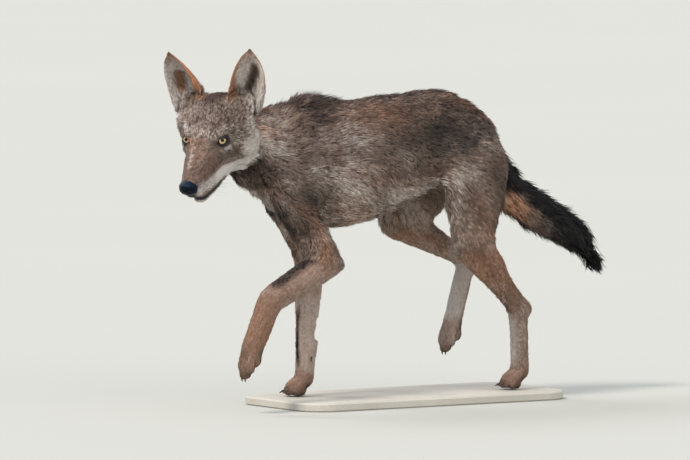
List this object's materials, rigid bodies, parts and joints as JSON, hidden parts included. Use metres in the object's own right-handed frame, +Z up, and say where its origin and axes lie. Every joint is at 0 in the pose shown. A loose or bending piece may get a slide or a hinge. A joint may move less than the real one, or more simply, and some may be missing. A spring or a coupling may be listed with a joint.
{
  "type": "red wolf model",
  "caption": "Life-size still model of a slim, large-eared young red wolf in mid stride, head turned to its left, on a plain flat display base.",
  "frame": {"origin": "on the floor, at the middle of the underside of the base", "axes": "+Z up, -Y the way the animal walks, +X its left side"},
  "size_m": [0.3027, 1.125, 0.7662],
  "materials": {
    "coat": "grizzled fur",
    "nose": "moist, pebbled",
    "eye": "polished glass eye",
    "claw": "dark horn, satin",
    "base": "pale matt lacquer"
  },
  "bodies": {
    "root": {"head": "coat", "lower_jaw": "coat", "nose": "nose", "eye_left": "eye", "eye_right": "eye", "ear_left": "coat", "ear_right": "coat", "neck": "coat", "trunk": "coat", "tail": "coat", "upper_foreleg_left": "coat", "forearm_left": "coat", "metacarpus_left": "coat", "forepaw_left": "coat", "thigh_left": "coat", "shank_left": "coat", "metatarsus_left": "coat", "hindpaw_left": "coat", "dewclaw_left": "claw", "claw_fore_left_1": "claw", "claw_fore_left_2": "claw", "claw_fore_left_3": "claw", "claw_fore_left_4": "claw", "claw_hind_left_1": "claw", "claw_hind_left_2": "claw", "claw_hind_left_3": "claw", "claw_hind_left_4": "claw", "upper_foreleg_right": "coat", "forearm_right": "coat", "metacarpus_right": "coat", "forepaw_right": "coat", "thigh_right": "coat", "shank_right": "coat", "metatarsus_right": "coat", "hindpaw_right": "coat", "dewclaw_right": "claw", "claw_fore_right_1": "claw", "claw_fore_right_2": "claw", "claw_fore_right_3": "claw", "claw_fore_right_4": "claw", "claw_hind_right_1": "claw", "claw_hind_right_2": "claw", "claw_hind_right_3": "claw", "claw_hind_right_4": "claw", "stand_base": "base"}
  },
  "joints": []
}
